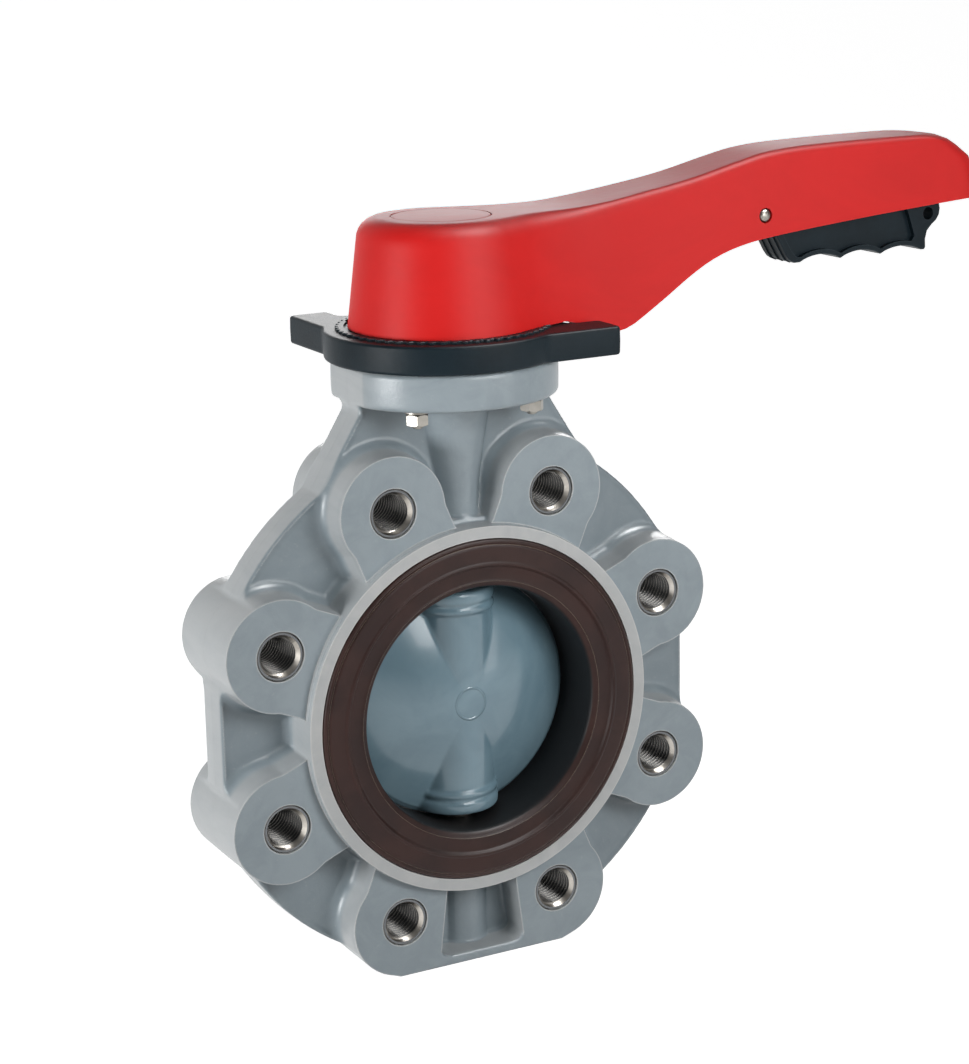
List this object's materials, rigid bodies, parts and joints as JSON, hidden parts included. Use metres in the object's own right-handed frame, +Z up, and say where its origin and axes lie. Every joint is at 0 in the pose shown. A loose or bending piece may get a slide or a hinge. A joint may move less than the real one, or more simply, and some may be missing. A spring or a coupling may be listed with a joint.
{
  "type": "butterfly valve",
  "caption": "Lug type butterfly valve for a pipe, with a moulded body, rubber liner, domed disc and a hand lever that has a squeeze trigger over a notched plate.",
  "frame": {"origin": "centre of the flat foot's underside, straight under the bore's axis", "axes": "+Z up along the stem, Y along the pipe with the front face at -Y, +X along the handle when the valve is closed"},
  "size_m": [0.359, 0.1027, 0.3152],
  "materials": {
    "body_plastic": "cool grey moulded plastic, satin",
    "liner_rubber": "dark brown rubber, satin",
    "disc_plastic": "slate blue-grey plastic, glossy",
    "plate_plastic": "blue-black plastic, satin",
    "handle_plastic": "red plastic, semi-gloss",
    "stainless_steel": "turned stainless steel",
    "bush_plastic": "natural nylon"
  },
  "bodies": {
    "housing": {"valve_body": "body_plastic", "lug_insert_1": "stainless_steel", "lug_insert_2": "stainless_steel", "lug_insert_3": "stainless_steel", "lug_insert_4": "stainless_steel", "lug_insert_5": "stainless_steel", "lug_insert_6": "stainless_steel", "lug_insert_7": "stainless_steel", "lug_insert_8": "stainless_steel", "liner": "liner_rubber", "upper_bush": "bush_plastic", "lower_bush": "bush_plastic", "retaining_ring": "stainless_steel", "notched_plate": "plate_plastic", "plate_screw_1": "stainless_steel", "plate_screw_2": "stainless_steel", "plate_screw_3": "stainless_steel", "plate_screw_4": "stainless_steel", "plate_washer_1": "stainless_steel", "plate_washer_2": "stainless_steel", "plate_washer_3": "stainless_steel", "plate_washer_4": "stainless_steel", "plate_nut_1": "stainless_steel", "plate_nut_2": "stainless_steel", "plate_nut_3": "stainless_steel", "plate_nut_4": "stainless_steel"},
    "lever": {"handle_shell": "handle_plastic", "handle_cap": "handle_plastic", "handle_screw": "stainless_steel", "handle_washer": "stainless_steel", "pivot_pin": "stainless_steel", "trigger_spring": "stainless_steel", "disc": "disc_plastic", "stem": "stainless_steel", "stem_seal_lower": "liner_rubber", "stem_seal_upper": "liner_rubber", "stem_seal_top": "liner_rubber"},
    "trigger": {"trigger": "plate_plastic"},
    "pawl": {"pawl": "stainless_steel"}
  },
  "joints": [
    {"name": "handle_turn", "type": "hinge", "parent": "housing", "child": "lever", "pos_m": [0, 0, 0.1063], "axis": [0, 0, 1], "range_deg": [0, 90]},
    {"name": "trigger_squeeze", "type": "hinge", "parent": "lever", "child": "trigger", "pos_m": [0.1386, 0, 0.2882], "axis": [0, -1, 0], "range_deg": [0, 9], "stiffness_Nm_per_rad": 0.5, "springref_deg": -17.19},
    {"name": "pawl_slide", "type": "slide", "parent": "lever", "child": "pawl", "axis": [0.9711, 0, 0.2385], "range_m": [0, 0.0012]}
  ],
  "couplings": [
    {"joint": "pawl_slide", "follows": "trigger_squeeze", "m_per_rad": 0.0073}
  ]
}
